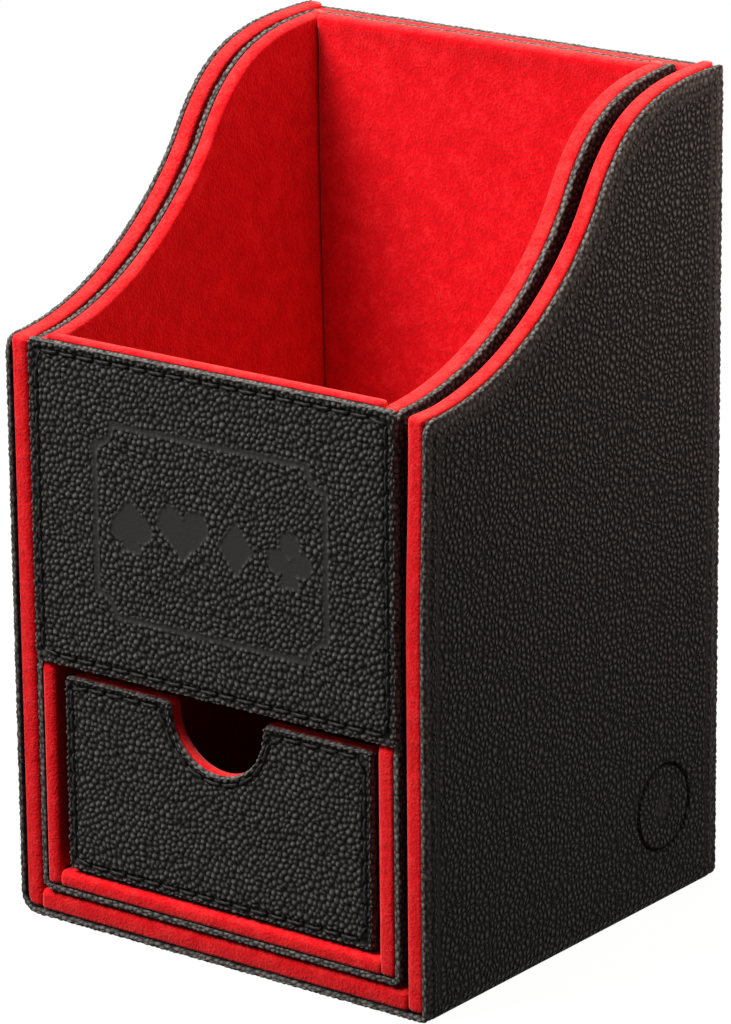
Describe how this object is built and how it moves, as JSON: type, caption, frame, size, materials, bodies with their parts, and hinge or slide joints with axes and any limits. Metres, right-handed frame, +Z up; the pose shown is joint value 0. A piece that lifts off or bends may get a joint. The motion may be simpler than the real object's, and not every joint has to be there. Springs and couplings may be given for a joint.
{
  "type": "card storage box with drawer",
  "caption": "Upright leather-covered card box with swept side walls, an open lined compartment for sleeved cards and a pull-out drawer with a half-round finger notch below.",
  "frame": {"origin": "centre of the underside, on the surface that the box stands on", "axes": "+Z up, -Y out of the front with the drawer, +X to the right seen from the front"},
  "size_m": [0.096, 0.094, 0.1597],
  "materials": {
    "leather": "satin",
    "suede": "matte",
    "greyboard": "matte"
  },
  "bodies": {
    "box": {"case_leather_wrap": "leather", "case_back_leather": "leather", "case_left_board": "greyboard", "case_left_lining": "suede", "case_right_board": "greyboard", "case_right_lining": "suede", "case_floor_board": "greyboard", "case_floor_lining": "suede", "case_back_board": "greyboard", "case_back_lining": "suede", "inner_leather_wrap": "leather", "inner_back_leather": "leather", "inner_left_board": "greyboard", "inner_left_lining": "suede", "inner_right_board": "greyboard", "inner_right_lining": "suede", "inner_floor_board": "greyboard", "inner_floor_lining": "suede", "inner_back_board": "greyboard", "inner_back_lining": "suede", "shelf_board": "greyboard", "shelf_top_lining": "suede", "shelf_under_lining": "suede", "front_panel_board": "greyboard", "front_panel_lining": "suede", "front_panel_leather": "leather"},
    "drawer": {"drawer_front_leather": "leather", "drawer_front_board": "greyboard", "drawer_front_lining": "suede", "drawer_skin": "leather", "drawer_back_skin": "leather", "drawer_left_board": "greyboard", "drawer_left_lining": "suede", "drawer_right_board": "greyboard", "drawer_right_lining": "suede", "drawer_back_board": "greyboard", "drawer_back_lining": "suede", "drawer_floor_board": "greyboard", "drawer_floor_lining": "suede"}
  },
  "joints": [
    {"name": "drawer_slide", "type": "slide", "parent": "box", "child": "drawer", "axis": [0, -1, 0], "range_m": [0, 0.084]}
  ]
}
